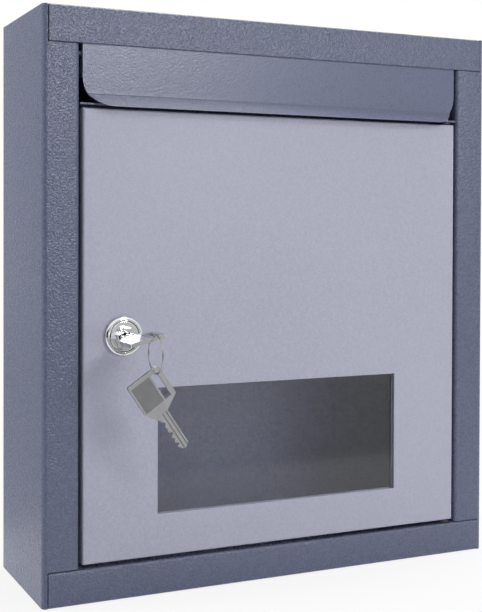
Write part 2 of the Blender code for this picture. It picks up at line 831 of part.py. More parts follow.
def make_lock_body(material, pivot):
    rim = quarter_arc(
        (LOCK_HEAD_RADIUS - LOCK_HEAD_ROUND, LOCK_FACE - LOCK_HEAD_ROUND),
        LOCK_HEAD_ROUND,
        0,
        BEND_STEPS,
    )
    profile = [(LOCK_RECESS_RADIUS, LOCK_FACE)]
    profile += reversed(rim)
    profile += [
        (LOCK_HEAD_RADIUS, FIT),
        (LOCK_BARREL_RADIUS, FIT),
        (LOCK_BARREL_RADIUS, -LOCK_BARREL_LENGTH),
        (LOCK_BORE_RADIUS, -LOCK_BARREL_LENGTH),
        (LOCK_BORE_RADIUS, RECESS_FLOOR),
        (LOCK_RECESS_RADIUS, RECESS_FLOOR),
    ]
    body = turned("lock_body", profile, LOCK, FACING_FRONT, material, closed=True)
    hang_on(body, pivot)


def make_lock_fasteners(material, pivot):
    washer_front = SHEET + FIT
    washer_back = washer_front + LOCK_WASHER_THICKNESS
    ring = washer(
        "lock_washer",
        LOCK_BARREL_RADIUS + FIT,
        LOCK_WASHER_RADIUS,
        -washer_back,
        -washer_front,
        LOCK,
        FACING_FRONT,
        material,
        ROUND_STEPS,
    )
    nut_middle = washer_back + FIT + NUT_THICKNESS / 2
    nut_place = LOCK + Vector((0, nut_middle, 0))
    nut = rod("lock_nut", NUT_RADIUS, NUT_THICKNESS, nut_place, FACING_FRONT, 6, material)
    nut_bore = rod(
        "lock_nut_bore",
        LOCK_BARREL_RADIUS + FIT,
        NUT_THICKNESS + 2 * OVERRUN,
        nut_place,
        FACING_FRONT,
        ROUND_STEPS,
    )
    cut(nut, nut_bore)
    hang_on(ring, pivot)
    hang_on(nut, pivot)


def make_plug(material, pivot):
    rim = quarter_arc(
        (PLUG_HEAD_RADIUS - PLUG_ROUND, PLUG_FACE - PLUG_ROUND), PLUG_ROUND, 0, BEND_STEPS
    )
    head_back = RECESS_FLOOR + FIT
    profile = [(0, PLUG_FACE)]
    profile += reversed(rim)
    profile += [
        (PLUG_HEAD_RADIUS, head_back),
        (PLUG_SHANK_RADIUS, head_back),
        (PLUG_SHANK_RADIUS, -PLUG_SHOULDER),
        (0, -PLUG_SHOULDER),
    ]
    plug = turned("lock_plug", profile, LOCK, FACING_FRONT, material)
    half = TANG_SIDE / 2
    tang = block(
        "plug_tang",
        LOCK + Vector((-half, PLUG_SHOULDER - OVERRUN / 2, -half)),
        LOCK + Vector((half, TANG_END, half)),
    )
    join(plug, tang)
    cut(plug, keyway_cutter())
    eye = rod(
        "keyway_eye",
        KEYWAY_EYE_RADIUS,
        2 * KEYWAY_EYE_DEPTH,
        LOCK - Vector((0, PLUG_FACE, 0)),
        FACING_FRONT,
    )
    cut(plug, eye)
    screw_hole = rod(
        "tang_screw_hole",
        SCREW_RADIUS + FIT,
        2 * SCREW_LENGTH,
        LOCK + Vector((0, TANG_END, 0)),
        FACING_FRONT,
    )
    cut(plug, screw_hole)
    hang_on(plug, pivot)


def keyway_cutter():
    half_width = KEY_BLADE_WIDTH / 2 + KEYWAY_CLEARANCE
    half_height = KEY_THICKNESS / 2 + KEYWAY_CLEARANCE
    slot = block(
        "keyway",
        (-half_width, -PLUG_FACE - OVERRUN, -half_height),
        (half_width, KEYWAY_DEPTH - PLUG_FACE, half_height),
    )
    turn = Matrix.Rotation(-KEY_TILT, 3, "Y")
    slot.location = LOCK + turn @ slot.location
    slot.rotation_euler = turn.to_euler()
    return slot


def cam_outlines():
    """The cam pointing down its own -Y, with a square hole for the tang."""
    half = CAM_WIDTH / 2
    hole = TANG_SIDE / 2 + FIT
    tip = CAM_REACH - half
    outline = quarter_arc((0, 0), half, 0, CORNER_STEPS)
    outline += quarter_arc((0, 0), half, math.pi / 2, CORNER_STEPS)[1:]
    outline += quarter_arc((0, -tip), half, math.pi, CORNER_STEPS)
    outline += quarter_arc((0, -tip), half, 3 * math.pi / 2, CORNER_STEPS)[1:]
    square = [(-hole, -hole), (hole, -hole), (hole, hole), (-hole, hole)]
    return [outline, square]


def make_cam(cam_material, screw_material, pivot):
    middle = (CAM_FRONT + CAM_BACK) / 2
    place = LOCK + Vector((0, middle, 0))
    cam = flat_plate("lock_cam", cam_outlines(), CAM_THICKNESS, place, FACING_FRONT, cam_material)
    hang_on(cam, pivot)
    head_low = TANG_END + FIT
    head_high = head_low + SCREW_HEAD_HEIGHT
    round_start = (SCREW_HEAD_RADIUS - PLUG_ROUND, head_high - PLUG_ROUND)
    profile = [(0, head_high)]
    profile += reversed(quarter_arc(round_start, PLUG_ROUND, 0, BEND_STEPS))
    profile += [
        (SCREW_HEAD_RADIUS, head_low),
        (SCREW_RADIUS, head_low),
        (SCREW_RADIUS, TANG_END + FIT - SCREW_LENGTH),
        (0, TANG_END + FIT - SCREW_LENGTH),
    ]
    screw = turned("cam_screw", profile, LOCK, FACING_BACK, screw_material, SMALL_ROUND_STEPS)
    reach = SCREW_HEAD_RADIUS + OVERRUN
    slot = block(
        "cam_screw_slot",
        LOCK + Vector((-reach, head_high - SCREW_SLOT_DEPTH, -SCREW_SLOT_WIDTH / 2)),
        LOCK + Vector((reach, head_high + OVERRUN, SCREW_SLOT_WIDTH / 2)),
    )
    cut(screw, slot)
    hang_on(screw, pivot)


# Keys. A key's own X runs from the bow's end to the tip, and its Y across the bow.

def bow_side(reach, length):
    """Along one side of the bow, from its neck end round the corner to its outer end."""
    r = KEY_BOW_ROUND
    return [(length, reach)] + quarter_arc((r, reach - r), r, math.pi / 2, BEND_STEPS)


def bitting():
    """The blade's cut edge: shallow V notches at an even pitch."""
    half = KEY_BLADE_WIDTH / 2
    run = KEY_BLADE_LENGTH - KEY_TIP_LENGTH
    pitch = run / len(KEY_CUT_DEPTH_SHARES)
    edge = []
    for number, share in enumerate(KEY_CUT_DEPTH_SHARES):
        start = KEY_SHOULDER + pitch * number
        floor = -half + share * KEY_BLADE_WIDTH
        edge += [(start + pitch / 4, -half), (start + pitch / 2, floor), (start + 3 * pitch / 4, floor)]
    return edge


def key_outlines():
    half_blade = KEY_BLADE_WIDTH / 2
    slot_side = bow_side(KEY_SLOT_SIDE_REACH, KEY_SLOT_SIDE_LENGTH)
    plain_side = bow_side(KEY_PLAIN_SIDE_REACH, KEY_PLAIN_SIDE_LENGTH)
    tip = [(KEY_LENGTH - KEY_TIP_LENGTH, -half_blade), (KEY_LENGTH, -half_blade / 4)]
    tip += [(KEY_LENGTH, half_blade / 4), (KEY_LENGTH - KEY_TIP_LENGTH / 2, half_blade)]
    outline = [(KEY_NECK, half_blade)] + slot_side + [(x, -y) for x, y in reversed(plain_side)]
    outline += [(KEY_HEEL_LENGTH, -KEY_HEEL_REACH), (KEY_SHOULDER, -half_blade)] + bitting() + tip
    slot = [
        (KEY_SLOT_END_BAR, KEY_SLOT_INNER),
        (KEY_SLOT_END_BAR, KEY_SLOT_OUTER),
        (KEY_SLOT_END_BAR + KEY_SLOT_LENGTH, KEY_SLOT_OUTER),
        (KEY_SLOT_END_BAR + KEY_SLOT_LENGTH, KEY_SLOT_INNER),
    ]
    return [outline, slot]


def sunk_areas():
    """Plans of what is sunk into both faces: the blade's grooves and the bow's bare panel."""
    areas = []
    for number, share in enumerate(KEY_GROOVE_PLACE_SHARES):
        low = share * KEY_BLADE_WIDTH
        plan = (KEY_NECK, low, KEY_LENGTH + OVERRUN, low + KEY_GROOVE_WIDTH)
        areas.append((f"groove_{number + 1}", plan, KEY_GROOVE_DEPTH))
    plan = (
        KEY_PANEL_RIM,
        KEY_PANEL_EDGE - KEY_PLAIN_SIDE_REACH,
        KEY_PLAIN_SIDE_LENGTH,
        KEY_SLOT_INNER - KEY_PANEL_EDGE,
    )
    areas.append(("panel", plan, KEY_PANEL_DEPTH))
    return areas


def make_key(name, material, place, turn):
    """A flat key whose bow end stands at a place, its axes given by a turn."""
    key = flat_plate(name, key_outlines(), KEY_THICKNESS, place, turn.to_euler(), material)
    for word, (x_low, y_low, x_high, y_high), depth in sunk_areas():
        for face, face_word in ((-1, "back"), (1, "front")):
            floor = face * (KEY_THICKNESS / 2 - depth)
            low, high = sorted((floor, face * (KEY_THICKNESS / 2 + OVERRUN)))
            sunk = block(f"{name}_{word}_{face_word}", (x_low, y_low, low), (x_high, y_high, high))
            sunk.location = Vector(place) + turn @ sunk.location
            sunk.rotation_euler = turn.to_euler()
            cut(key, sunk)
    return key


def columns(x_axis, y_axis):
    """A turn that takes an object's own X and Y to two given directions."""
    x_axis, y_axis = Vector(x_axis), Vector(y_axis)
    return Matrix((x_axis, y_axis, x_axis.cross(y_axis))).transposed()


def make_key_in_lock(material, pivot):
    turn = columns((0, 1, 0), (math.cos(KEY_TILT), 0, math.sin(KEY_TILT)))
    key = make_key("key_in_lock", material, LOCK - Vector((0, KEY_END, 0)), turn)
    hang_on(key, pivot)


def make_key_ring(material, pivot):
    place = RING_PIVOT - Vector((0, 0, RING_DROP))
    angles = [2 * math.pi * step / WIRE_STEPS for step in range(WIRE_STEPS)]
    wire = [
        (RING_RADIUS - RING_WIRE_RADIUS * math.cos(a), RING_WIRE_RADIUS * math.sin(a)) for a in angles
    ]
    ring = turned("key_ring", wire, place, ALONG_X, material, closed=True)
    hang_on(ring, pivot)


def make_spare_key(material, pivot):
    down, along = math.sin(SPARE_HANG_ANGLE), math.cos(SPARE_HANG_ANGLE)
    turn = columns((along, 0, -down), (down, 0, along))
    place = SPARE_PIVOT - turn @ Vector((SPARE_ON_RING_U, SPARE_ON_RING_V, 0))
    key = make_key("spare_key", material, place, turn)
    hang_on(key, pivot)


def main():
    paint = principled("shell_paint", (0.090, 0.100, 0.146), 0.45, 0.0)
    door_paint = principled("door_paint", (0.42, 0.42, 0.51), 0.5, 0.1)
    clear = principled("clear_acrylic", (0.9, 0.92, 0.95), 0.05, 0.0, 1.0)
    zinc = principled("zinc", (0.62, 0.63, 0.65), 0.35, 1.0)
    chrome = principled("chrome", (0.86, 0.86, 0.88), 0.08, 1.0)
    nickel = principled("nickel", (0.62, 0.61, 0.60), 0.25, 1.0)
    nylon = principled("black_nylon", (0.02, 0.02, 0.022), 0.5, 0.0)

    make_side("left_side", -1, paint)
    make_side("right_side", 1, paint)
    make_top_panel(paint)
    make_bottom_panel(paint)
    make_back_panel(paint)
    make_slot_rail(paint)

    make_flap(paint)
    make_flap_rod(paint, zinc)

    door_pivot = add_pivot("door_pivot", HINGE)
    make_door(door_paint, door_pivot)
    make_pane(clear, door_pivot)
    make_channels(door_paint, door_pivot)
    make_hinge(zinc, nylon, door_pivot)

    make_lock_body(chrome, door_pivot)
    make_lock_fasteners(zinc, door_pivot)
    plug_pivot = add_pivot("plug_pivot", LOCK, door_pivot)
    make_plug(chrome, plug_pivot)
    make_cam(zinc, zinc, plug_pivot)

    make_key_in_lock(nickel, plug_pivot)
    ring_pivot = add_pivot("ring_pivot", RING_PIVOT, plug_pivot)
    make_key_ring(nickel, ring_pivot)
    spare_pivot = add_pivot("spare_pivot", SPARE_PIVOT, ring_pivot)
    make_spare_key(nickel, spare_pivot)


clear_scene()
BOX, CUTTERS = make_collections()
main()
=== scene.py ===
# %% [markdown]
# # A painted steel suggestion box
#
# The box is folded from thin steel sheet and powder coated: a dark blue-grey shell with
# a leathery grain, and a paler silver-grey door. A letter flap hangs under the top rail,
# the door has a clear window, and a chromed cam lock holds one of two keys on a ring.
#
# The engineering model already has every fold, pin and hole in its true place, so this
# lesson starts from it. What is left is what a camera sees: softened edges, paint grain,
# plating, clear plastic, and the light.

# %% Load the frame
import json
import math

import bmesh
import bpy
from mathutils import Matrix, Vector


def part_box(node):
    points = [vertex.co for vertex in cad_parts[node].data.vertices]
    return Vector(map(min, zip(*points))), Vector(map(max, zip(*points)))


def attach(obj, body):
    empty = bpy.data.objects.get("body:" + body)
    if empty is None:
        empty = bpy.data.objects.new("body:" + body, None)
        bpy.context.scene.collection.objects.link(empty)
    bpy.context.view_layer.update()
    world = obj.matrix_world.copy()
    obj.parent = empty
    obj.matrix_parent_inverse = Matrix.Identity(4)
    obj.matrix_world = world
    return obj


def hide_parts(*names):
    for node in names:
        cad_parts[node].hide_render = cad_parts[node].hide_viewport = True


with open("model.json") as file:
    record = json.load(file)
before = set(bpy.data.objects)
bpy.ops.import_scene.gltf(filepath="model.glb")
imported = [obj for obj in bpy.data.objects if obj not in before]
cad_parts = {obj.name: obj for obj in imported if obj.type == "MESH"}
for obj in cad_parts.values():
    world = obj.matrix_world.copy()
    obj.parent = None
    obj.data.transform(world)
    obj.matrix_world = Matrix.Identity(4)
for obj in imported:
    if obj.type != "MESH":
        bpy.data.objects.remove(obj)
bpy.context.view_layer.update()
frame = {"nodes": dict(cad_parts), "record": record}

# %% [markdown]
# ## The camera
#
# The photograph was taken a little to the left of the box, with a long lens held level.
# The box's straight edges gave the viewpoint. The picture's centre of perspective lies
# above its middle, which a small downward shift of the lens reproduces.

# %% Place the camera
PICTURE_HEIGHT = 612
FOCAL_PIXELS = 1159.6
CENTRE_ROW = 243.0
SENSOR = 36.0
VIEWPOINT = (-0.2925, -0.6082, 0.1938)

yaw = math.radians(25.226)
pitch = math.radians(-0.851)
roll = math.radians(0.181)

forward = Vector((math.sin(yaw) * math.cos(pitch), math.cos(yaw) * math.cos(pitch), math.sin(pitch)))
level_right = Vector((math.cos(yaw), -math.sin(yaw), 0))
level_up = level_right.cross(forward)
right = level_right * math.cos(roll) + level_up * math.sin(roll)
up = level_up * math.cos(roll) - level_right * math.sin(roll)

lens = bpy.data.cameras.new("camera")
lens.sensor_width = SENSOR
lens.lens = SENSOR * FOCAL_PIXELS / PICTURE_HEIGHT
lens.shift_y = (CENTRE_ROW - PICTURE_HEIGHT / 2) / PICTURE_HEIGHT
lens.clip_start = 0.01
camera = bpy.data.objects.new("camera", lens)
bpy.context.scene.collection.objects.link(camera)
turn = Matrix((right, up, -forward)).transposed()
camera.matrix_world = Matrix.Translation(VIEWPOINT) @ turn.to_4x4()
bpy.context.scene.camera = camera
print("lens", round(lens.lens, 2), "mm, shift", round(lens.shift_y, 4))

# %% [markdown]
# ## Writing a finish as a formula
#
# A material in Blender is a net of nodes. Drawing the net by hand hides the idea behind
# it, so a small class wraps a node's output and gives it Python's own signs. `1 - grain`
# then adds the node that does the sum, and a finish reads like a formula.

# %% A value that nodes work out
class Value:
    def __init__(self, net, socket):
        self.net = net
        self.socket = socket

    def work(self, operation, first, second):
        return self.net.node("ShaderNodeMath", {"operation": operation}, {0: first, 1: second})["Value"]

    def __add__(self, other):
        return self.work("ADD", self, other)

    def __radd__(self, other):
        return self.work("ADD", other, self)

    def __sub__(self, other):
        return self.work("SUBTRACT", self, other)

    def __rsub__(self, other):
        return self.work("SUBTRACT", other, self)

    def __mul__(self, other):
        return self.work("MULTIPLY", self, other)

    def __rmul__(self, other):
        return self.work("MULTIPLY", other, self)

    def or_more(self, other):
        return self.work("MAXIMUM", self, other)


# %% A net of nodes, and a finish made of one
class Net:
    def __init__(self, tree):
        self.tree = tree

    def node(self, kind, settings=None, sockets=None):
        made = self.tree.nodes.new(kind)
        for name, value in (settings or {}).items():
            if name == "stops":
                self.set_stops(made.color_ramp, value)
            else:
                setattr(made, name, value)
        for name, value in (sockets or {}).items():
            self.feed(made.inputs[name], value)
        return {output.name: Value(self, output) for output in made.outputs if output.enabled}

    def set_stops(self, ramp, stops):
        for number, (position, color) in enumerate(stops):
            stop = ramp.elements[number] if number < 2 else ramp.elements.new(position)
            stop.position = position
            stop.color = (*color, 1)

    def feed(self, socket, value):
        if isinstance(value, Value):
            self.tree.links.new(value.socket, socket)
        else:
            socket.default_value = value

    def surface(self, value):
        output = next(node for node in self.tree.nodes if "Surface" in node.inputs)
        self.feed(output.inputs["Surface"], value)


class Finish(Net):
    def __init__(self, name):
        self.material = bpy.data.materials.new(name)
        self.material.use_nodes = True
        super().__init__(self.material.node_tree)
        self.shader = self.tree.nodes["Principled BSDF"]
        self.place = self.node("ShaderNodeTexCoord")["Object"]

    def set(self, **values):
        for name, value in values.items():
            self.feed(self.shader.inputs[name.replace("_", " ")], value)

    def noise(self, scale, detail=2.0, roughness=0.5, place=None):
        sockets = {"Vector": place or self.place, "Scale": scale, "Detail": detail, "Roughness": roughness}
        return self.node("ShaderNodeTexNoise", None, sockets)["Fac"]

    def pebbles(self, scale):
        settings = {"feature": "SMOOTH_F1"}
        sockets = {"Vector": self.place, "Scale": scale, "Smoothness": 1.0}
        return self.node("ShaderNodeTexVoronoi", settings, sockets)["Distance"]

    def stretched(self, along):
        settings = {"vector_type": "POINT"}
        return self.node("ShaderNodeMapping", settings, {"Vector": self.place, "Scale": along})["Vector"]

    def ramp(self, value, stops):
        return self.node("ShaderNodeValToRGB", {"stops": stops}, {"Fac": value})["Color"]

    def mixed(self, share, first, second):
        settings = {"data_type": "RGBA"}
        return self.node("ShaderNodeMix", settings, {"Factor": share, "A": first, "B": second})["Result"]

    def between(self, value, start, end):
        sockets = {"Value": value, "From Min": start, "From Max": end}
        return self.node("ShaderNodeMapRange", {"clamp": True}, sockets)["Result"]

    def bump(self, height, depth):
        sockets = {"Height": height, "Distance": depth, "Strength": 1.0}
        return self.node("ShaderNodeBump", None, sockets)["Normal"]


print("finishes are ready to be written")

# %% [markdown]
# ## The shell's paint
#
# Powder is sprayed on dry and melted in an oven. This kind is made to wrinkle as it
# flows, into a leathery grain of small soft lumps about a millimetre across, which hides
# scratches. The lumps come from a smooth cell pattern with two noises over it, one finer
# than the lumps and one wider. The grain stands high enough for each lump to catch the
# light on one side, and it is a little glossier where it is low. Its colour also carries
# painted light and shade, lighter on the lumps' crests and darker where the grain is low,
# with wide random clouds over it. The flap has the same paint, but it has flowed out
# flatter there, and its colour is painted a shade lighter for the extra light its face
# catches.

# %% Shell paint
def shade(color, share):
    return (*[channel * share for channel in color], 1)


SHELL = (0.100, 0.113, 0.184)
# Painted light: the flap's colour is lighter than the shell's, for the extra light its face catches.
FLAP_LIT_COLOR = (0.114, 0.128, 0.208)
BLACK = (0, 0, 0)
WHITE = (1, 1, 1)

FINER = 1.9
WIDER = 0.35
CLOUDS_PER_METRE = 9

LUMP_RISE = 0.9
FINE_RISE = 0.55
FLOW_RISE = 0.5

GRAIN_SHADING = 0.7
CLOUD_TONE = 0.35
TONE_STOPS = [(0.25, BLACK), (0.95, WHITE)]
DARKEST = 0.84
LIGHTEST = 1.17
ROUGHER = 0.14


def grainy_paint(name, color, size, depth, gloss):
    """Paint with lumps of this size and depth in metres, where gloss is its lowest roughness."""
    paint = Finish(name)
    lumps = paint.pebbles(1 / size)
    fine = paint.noise(FINER / size, 1)
    flow = paint.noise(WIDER / size, 2)
    grain = lumps * LUMP_RISE + fine * FINE_RISE + flow * FLOW_RISE
    cloud = paint.noise(CLOUDS_PER_METRE, 3)
    # Painted light and shade on the grain: the colour is lighter on the crests and darker in the hollows,
    # with wide random clouds over it.
    shading_and_clouds = paint.ramp(grain * GRAIN_SHADING + cloud * CLOUD_TONE, TONE_STOPS)
    tint = paint.mixed(shading_and_clouds, shade(color, DARKEST), shade(color, LIGHTEST))
    paint.set(
        Base_Color=tint,
        Roughness=gloss + grain * ROUGHER,
        Normal=paint.bump(grain, depth),
        Specular_IOR_Level=0.5,
    )
    return paint.material


shell_paint = grainy_paint("shell_paint", SHELL, size=0.0010, depth=0.00030, gloss=0.15)
lit_flap_paint = grainy_paint("lit_flap_paint", FLAP_LIT_COLOR, size=0.0009, depth=0.00009, gloss=0.18)
print("shell paint:", len(shell_paint.node_tree.nodes), "nodes")

# %% [markdown]
# ## The door's paint
#
# The door is a silver-grey of the same family with a far shallower grain, so it looks
# almost smooth beside the shell. The same formula serves with other numbers.

# %% Door paint
DOOR = (0.380, 0.387, 0.478)
door_paint = grainy_paint("door_paint", DOOR, size=0.0009, depth=0.00004, gloss=0.36)
print("door paint:", len(door_paint.node_tree.nodes), "nodes")

# %% [markdown]
# ## Bright metals
#
# Chrome on the lock is almost a mirror, broken only by faint wiping marks, with painted
# shade in the groove round its plug. The keys are nickel-plated and tumbled, so they are
# softer, with fine scratches both up and across.
# The spare key's hollows and edges are painted darker, as shade and dark reflection, and the
# ring's nickel is painted darker for the dark reflections on its wire.
# Zinc on the hidden hardware is duller and slightly mottled.

# %% Metals
MOTTLES_PER_METRE = 220
MARKS_PER_METRE = 60
MARK_STRETCH = 24.0
# Painted shade: the near black that shaded hollows are darkened towards.
SHADE_COLOR = (0.015, 0.015, 0.014, 1)


def plated(name, color, base, mottle, scratches, depth, shaded_by=None):
    """Plating whose roughness rises with its mottle and scratches, and which painted shade may darken."""
    metal = Finish(name)
    cloud = metal.noise(MOTTLES_PER_METRE, 4)
    across = metal.noise(MARKS_PER_METRE, 4, 0.6, metal.stretched((1.0, 1.0, MARK_STRETCH)))
    upright = metal.noise(MARKS_PER_METRE, 4, 0.6, metal.stretched((MARK_STRETCH, 1.0, 1.0)))
    marks = across * 0.5 + upright * 0.5
    tint = metal.mixed(cloud, shade(color, 1 - mottle), shade(color, 1.0))
    # Painted shade: where the mask says, the plating's colour is darkened towards near black.
    if shaded_by:
        tint = metal.mixed(shaded_by(metal), tint, SHADE_COLOR)
    metal.set(
        Base_Color=tint,
        Metallic=1.0,
        Roughness=base + cloud * mottle + marks * scratches,
        Normal=metal.bump(marks, depth),
    )
    return metal.material


# Each pair says where painted shade fades in, from none to full, in metres: behind the plug's
# face at the near and the far end of the shaded groove, out from the lock's axis, and under a key's face.
SHADE_START = (0.0002, 0.0006)
SHADE_END = (0.0045, 0.0042)
SHADE_RIM = (0.0085, 0.0083)
FACE_SKIN = (0.00005, 0.00015)
# Painted shade: how far the spare key's hollows and edges are darkened.
KEY_SHADE_SHARE = 0.42


def painted_shade_in_the_lock(metal):
    """Painted shade in the groove round the plug and in the mouth of the keyway, darkening the chrome there.
    """
    low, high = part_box("lock_plug")
    part = metal.node("ShaderNodeSeparateXYZ", None, {"Vector": metal.place})
    across = part["X"] - (low[0] + high[0]) / 2
    rise = part["Z"] - (low[2] + high[2]) / 2
    square = across * across + rise * rise
    radius = metal.node("ShaderNodeMath", {"operation": "SQRT"}, {0: square})["Value"]
    sunk = metal.between(part["Y"], *[low[1] + depth for depth in SHADE_START])
    near = metal.between(part["Y"], *[low[1] + depth for depth in SHADE_END])
    inside = metal.between(radius, *SHADE_RIM)
    return sunk * near * inside


def painted_shade_in_the_key(metal):
    """Painted shade and dark reflection on what lies under the spare key's two faces: its sunk panels,
    grooves and edges.
    """
    mesh = frame["nodes"]["spare_key"].data
    facing = max(mesh.polygons, key=lambda face: face.area).normal
    heights = [facing.dot(vertex.co) for vertex in mesh.vertices]
    sockets = {0: metal.place, 1: facing}
    height = metal.node("ShaderNodeVectorMath", {"operation": "DOT_PRODUCT"}, sockets)["Value"]
    over_back = metal.between(height, *[min(heights) + skin for skin in FACE_SKIN])
    under_front = metal.between(height, *[max(heights) - skin for skin in FACE_SKIN])
    return over_back * under_front * KEY_SHADE_SHARE


CHROME = (0.84, 0.85, 0.86)
NICKEL = (0.66, 0.665, 0.69)
SPARE_NICKEL = (0.70, 0.705, 0.73)
RING_NICKEL_DARKENED = (0.42, 0.42, 0.45)
ZINC = (0.58, 0.60, 0.62)

tumbled = {"mottle": 0.10, "scratches": 0.14, "depth": 0.000012}
chrome = plated(
    "chrome", CHROME, base=0.03, mottle=0.05, scratches=0.05, depth=0.0000015, shaded_by=painted_shade_in_the_lock
)
nickel = plated("nickel", NICKEL, base=0.10, **tumbled)
shaded_spare_nickel = plated("shaded_spare_nickel", SPARE_NICKEL, base=0.10, shaded_by=painted_shade_in_the_key, **tumbled)
# Painted reflection: the ring's nickel is coloured darker for the dark surroundings its wire reflects.
dark_ring_nickel = plated("dark_ring_nickel", RING_NICKEL_DARKENED, base=0.12, **tumbled)
zinc = plated("zinc", ZINC, base=0.28, mottle=0.18, scratches=0.12, depth=0.00002)
print("metals:", chrome.name, nickel.name, shaded_spare_nickel.name, dark_ring_nickel.name, zinc.name)

# %% [markdown]
# ## Plastics
#
# The window is a clear acrylic pane. The spacers at the hinge are black nylon, which is
# matt and a little waxy.

# %% Acrylic and nylon
SMEARS_PER_METRE = 14
SPECKS_PER_METRE = 700
CLEAR_TINT = (0.95, 0.96, 1.0, 1)
ACRYLIC_IOR = 1.49
NYLON_DARK = (0.016, 0.016, 0.018, 1)
NYLON_LIGHT = (0.026, 0.026, 0.028, 1)

pane_finish = Finish("clear_acrylic")
smears = pane_finish.noise(SMEARS_PER_METRE, 5, 0.6)
pane_finish.set(
    Base_Color=CLEAR_TINT,
    Transmission_Weight=1.0,
    IOR=ACRYLIC_IOR,
    Roughness=0.05 + smears * 0.06,
)
acrylic = pane_finish.material

nylon_finish = Finish("black_nylon")
waxy = nylon_finish.noise(SPECKS_PER_METRE, 3)
nylon_finish.set(
    Base_Color=nylon_finish.mixed(waxy, NYLON_DARK, NYLON_LIGHT),
    Roughness=0.42 + waxy * 0.12,
    Normal=nylon_finish.bump(waxy, 0.00003),
)
nylon = nylon_finish.material
print("plastics:", acrylic.name, nylon.name)

# %% [markdown]
# ## Dressing the folded sheets
#
# The engineering solids arrive as loose triangles with knife-sharp edges. Paint rounds
# every edge a little, and those thin highlights tell the eye that this is coated steel.
# So each solid is copied, its triangles are welded and merged back into flat faces, and
# a narrow bevel softens the edges. The copy then stands for the solid it came from. Only
# the thin wire of the key ring keeps its edges, because it is round already.

# %% A softened copy of a solid
FINISHES = {
    "shell_paint": shell_paint,
    "door_paint": door_paint,
    "chrome": chrome,
    "nickel": nickel,
    "zinc": zinc,
    "clear_acrylic": acrylic,
    "black_nylon": nylon,
}

WELD_DISTANCE = 0.000002
FLAT_ANGLE = math.radians(0.5)
EDGE_ANGLE = math.radians(35)


def welded_copy(node):
    bm = bmesh.new()
    bm.from_mesh(frame["nodes"][node].data)
    bmesh.ops.remove_doubles(bm, verts=bm.verts, dist=WELD_DISTANCE)
    bmesh.ops.dissolve_limit(bm, angle_limit=FLAT_ANGLE, verts=bm.verts, edges=bm.edges)
    mesh = bpy.data.meshes.new(node)
    bm.to_mesh(mesh)
    bm.free()
    return mesh


def body_with(node):
    bodies = frame["record"]["behaviour"]["bodies"]
    return next(body for body, members in bodies.items() if node in members)


def dress(node, slot, edge, crisp=True, finish=None):
    piece = bpy.data.objects.new("finished_" + node, welded_copy(node))
    bpy.context.scene.collection.objects.link(piece)
    piece.data.materials.clear()
    piece.data.materials.append(finish or FINISHES[slot])
    piece.data.shade_smooth()
    piece.data.set_sharp_from_angle(angle=EDGE_ANGLE)
    if edge:
        soft = piece.modifiers.new("softened_edges", "BEVEL")
        soft.width = edge
        soft.segments = 2
        soft.limit_method = "ANGLE"
        soft.angle_limit = EDGE_ANGLE
        soft.use_clamp_overlap = True
        soft.harden_normals = crisp
    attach(piece, body_with(node))
    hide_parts(node)
    return piece


# %% Dress every piece
SHELL_NODES = ("left_side", "right_side", "bottom_panel", "back_panel", "slot_rail")
DOOR_NODES = ("door_panel", "pane_channel_left", "pane_channel_right", "pane_channel_bottom")
FLAP_CLIP_NODES = ("flap_clip_left", "flap_clip_right")
HINGE_NODES = ("hinge_pin_upper", "hinge_pin_lower")
LOCK_NODES = ("lock_washer", "lock_nut", "lock_cam", "cam_screw")

SHELL_EDGE = 0.00022
TOP_EDGE = 0.00045
DOOR_EDGE = 0.00018
SMALL_EDGE = 0.0001
PLATED_EDGE = 0.00012
WIDE_EDGE = 0.0002

for node in SHELL_NODES:
    dress(node, "shell_paint", SHELL_EDGE)
dress("top_panel", "shell_paint", TOP_EDGE)
dress("flap", "shell_paint", SHELL_EDGE, finish=lit_flap_paint)
dress("flap_rod", "shell_paint", SMALL_EDGE)
for node in DOOR_NODES:
    dress(node, "door_paint", DOOR_EDGE)
for node in FLAP_CLIP_NODES + HINGE_NODES + LOCK_NODES:
    dress(node, "zinc", SMALL_EDGE)
for node in ("hinge_washer_upper", "hinge_washer_lower"):
    dress(node, "black_nylon", SMALL_EDGE)
for node in ("lock_body", "lock_plug"):
    dress(node, "chrome", PLATED_EDGE)
dress("key_in_lock", "nickel", WIDE_EDGE, crisp=False)
dress("spare_key", "nickel", PLATED_EDGE, finish=shaded_spare_nickel)
dress("key_ring", "nickel", 0, finish=dark_ring_nickel)
dress("window_pane", "clear_acrylic", WIDE_EDGE)

# %% [markdown]
# ## The studio
#
# The box stands on a plain white floor in front of nothing at all. The floor and the
# surroundings look white to the camera and to polished metal, but light the box only
# softly, and the floor still takes its shadow. Further from the box the floor's own
# white takes over, so that it meets the surroundings without a line.

# %% Floor
def seen_directly(net):
    """1 for camera, mirror and see-through rays, and 0 for the light that spreads."""
    path = net.node("ShaderNodeLightPath")
    return path["Is Camera Ray"].or_more(path["Is Glossy Ray"]).or_more(path["Is Transmission Ray"])


FLOOR_REACH = 6
FLOOR_DROP = 0.0004
SHADOW_SHARE = 0.16

floor_finish = Finish("floor_white")
floor_finish.set(Base_Color=(0.88, 0.88, 0.88, 1), Roughness=0.9)
nearness = floor_finish.node(
    "ShaderNodeTexGradient", {"gradient_type": "SPHERICAL"}, {"Vector": floor_finish.place}
)["Fac"]
glow = floor_finish.node("ShaderNodeEmission")["Emission"]
share = seen_directly(floor_finish) * (1 - nearness * SHADOW_SHARE)
plain = Value(floor_finish, floor_finish.shader.outputs["BSDF"])
floor_finish.surface(floor_finish.node("ShaderNodeMixShader", None, {0: share, 1: plain, 2: glow})["Shader"])

